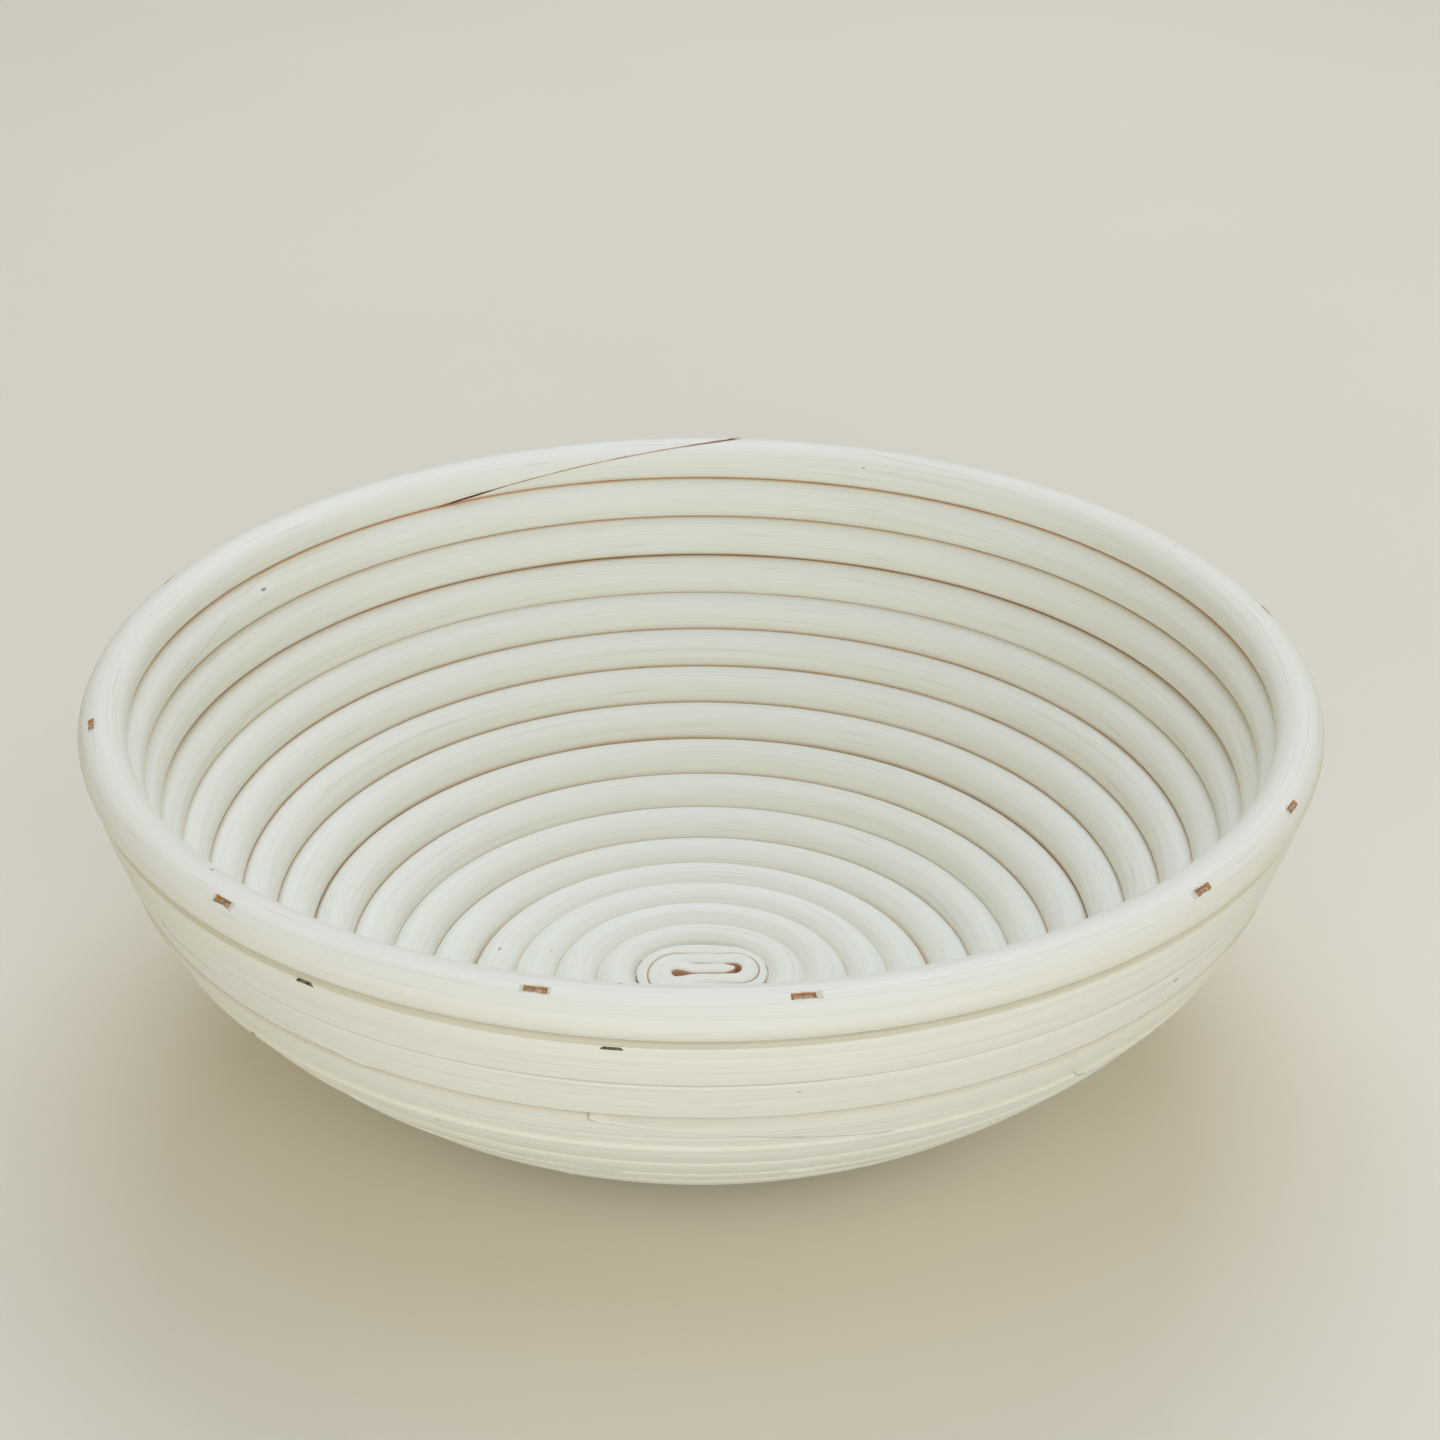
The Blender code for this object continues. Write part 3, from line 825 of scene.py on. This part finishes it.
def flankSeat(seat, hoop):
    # a seat on the outer flank of a hoop, driven inwards and down
    azimuth = math.atan2(seat["crown"].y, seat["crown"].x)
    out = Vector((math.sin(hoop["tilt"]), -math.cos(hoop["tilt"])))
    up = Vector((math.cos(hoop["tilt"]), math.sin(hoop["tilt"])))
    spot = Vector((hoop["radius"], hoop["height"])) + hoop["half"] * (
        up * stapleShape["topLevel"] + out * 0.85)
    lean = math.radians(stapleShape["topLean"])
    drive = -(out * math.cos(lean) + up * math.sin(lean))

    def turned(p):
        return Vector((p.x * math.cos(azimuth), p.x * math.sin(azimuth), p.y))

    across = Vector((-math.sin(azimuth), math.cos(azimuth), 0))
    down = turned(drive)
    return {**seat, "crown": turned(spot), "down": down, "across": across,
            "side": across.cross(down)}


rimSeats = [surfaceSeat(seat, canes["rim_hoop"], stapleShape["sunk"])
            for seat in seats["rim_hoop"]]
flankSeats = [surfaceSeat(flankSeat(seat, hoops[-2]), canes["wall_hoop_11"],
                          stapleShape["topSunk"]) for seat in seats["wall_hoop_11"]]
hiddenSeats = [seat for name in hoopNames[:-2] for seat in seats[name]]
makeStaples("rimStaples", rimSeats, brownedWire, stapleShape["width"])
makeStaples("topWallStaples", flankSeats, wireInPaintedShade, stapleShape["topWidth"])
makeStaples("hiddenStaples", hiddenSeats, brownedWire, stapleShape["width"])


def cutSlots(piece, these):
    # the ragged slots that the rim's staples lie in
    dice = random.Random(5)
    bm = bmesh.new()
    for seat in these:
        length, width = stapleShape["slotLength"] / 2, stapleShape["slotWidth"] / 2
        rows = []
        outline = ([(-length + 2 * length * k / 6, -width) for k in range(7)]
                   + [(length - 2 * length * k / 6, width) for k in range(7)])
        outline = [(x + dice.uniform(-1, 1) * stapleShape["ragged"],
                    y + dice.uniform(-1, 1) * stapleShape["ragged"]) for x, y in outline]
        for depth in (-0.003, stapleShape["slotDepth"] - stapleShape["sunk"]):
            rows.append([bm.verts.new(seat["crown"] + seat["across"] * x + seat["side"] * y
                                      + seat["down"] * depth) for x, y in outline])
        top, floor = rows
        bm.faces.new(top)
        bm.faces.new(list(reversed(floor)))
        for k in range(len(outline)):
            j = (k + 1) % len(outline)
            bm.faces.new((top[k], floor[k], floor[j], top[j]))
    bmesh.ops.recalc_face_normals(bm, faces=bm.faces)
    mesh = bpy.data.meshes.new("slots")
    bm.to_mesh(mesh)
    bm.free()
    mesh.materials.append(splitWood)
    cutter = bpy.data.objects.new("slots", mesh)
    bpy.context.scene.collection.objects.link(cutter)
    modifier = piece.modifiers.new("slots", "BOOLEAN")
    modifier.operation = "DIFFERENCE"
    modifier.object = cutter
    modifier.material_mode = "TRANSFER"
    evaluated = piece.evaluated_get(bpy.context.evaluated_depsgraph_get())
    result = bpy.data.meshes.new_from_object(evaluated)
    piece.modifiers.remove(modifier)
    bpy.data.objects.remove(cutter)
    piece.data = result


cutSlots(canes["rim_hoop"], rimSeats)
print("staples driven:", sum(len(s) for s in seats.values()))


view = {
    "lens": 71.4,
    "lookDown": 27.83,
    "back": 0.5194044,       # from the basket's axis
    "above": 0.2661146,      # the middle of the rim hoop
    "shift": 0.0131,
}


def makeFloor():
    mesh = bpy.data.meshes.new("floor")
    side = 12                # half of the floor's side
    mesh.from_pydata([(-side, -side, 0), (side, -side, 0), (side, side, 0), (-side, side, 0)],
                     [], [(0, 1, 2, 3)])
    piece = bpy.data.objects.new("floor", mesh)
    bpy.context.scene.collection.objects.link(piece)
    material, b = startMaterial("paleFloor")
    where = b.node("ShaderNodeTexCoord", {}, {}, 3)
    colour = b.mixColour(b.noise(where, 9, 2), rgb(237, 230, 216), rgb(234, 227, 212))
    endMaterial(b, colour, 0.9)
    mesh.materials.append(material)


def areaLight(name, where, aim, size, power, colour):
    data = bpy.data.lights.new(name, "AREA")
    data.shape = "RECTANGLE"
    data.size, data.size_y = size
    data.energy = power
    data.color = colour
    lamp = bpy.data.objects.new(name, data)
    lamp.location = where
    lamp.rotation_euler = (Vector(aim) - Vector(where)).to_track_quat("-Z", "Y").to_euler()
    bpy.context.scene.collection.objects.link(lamp)


# name, place, what it points at, size, power and colour
studioLights = (
    ("backLight", (0.1, 1.1, 1.5), (0, 0, 0), (1.2, 1.0), 12.2, (0.779, 0.869, 1.0)),
    ("overheadLight", (0, 0, 1.6), (0, 0, 0), (1.4, 1.4), 7.3, (0.411, 0.637, 1.0)),
    ("rightLight", (1.6, 0.1, 0.9), (0, 0, 0), (1.0, 1.2), 3.5, (0.829, 0.886, 1.0)),
    ("frontLight", (0, -1.5, 1.1), (0, 0, 0), (1.4, 1.0), 7.45, (1.0, 0.966, 0.966)),
    ("lowLight", (0, -1.7, 0.35), (0, 0, 0.03), (1.4, 0.5), 7.9, (0.696, 0.835, 1.0)),
)


def makeStudio():
    scene = bpy.context.scene
    world = bpy.data.worlds.new("studio")
    scene.world = world
    world.use_nodes = True
    b = Bench(world.node_tree)
    sky = b.node("ShaderNodeBackground", {}, {"Color": (1.0, 0.843, 0.484, 1), "Strength": 0.316})
    b.node("ShaderNodeOutputWorld", {}, {"Surface": sky})
    for light in studioLights:
        areaLight(*light)
    scene.view_settings.view_transform = "Standard"

    data = bpy.data.cameras.new("viewCamera")
    data.sensor_width = 36
    data.lens = view["lens"]
    data.shift_x = view["shift"]
    camera = bpy.data.objects.new("viewCamera", data)
    camera.location = (0, -view["back"], hoops[-1]["height"] + view["above"])
    camera.rotation_euler = (math.radians(90 - view["lookDown"]), 0, 0)
    scene.collection.objects.link(camera)
    scene.camera = camera


makeFloor()
makeStudio()
print("studio set")
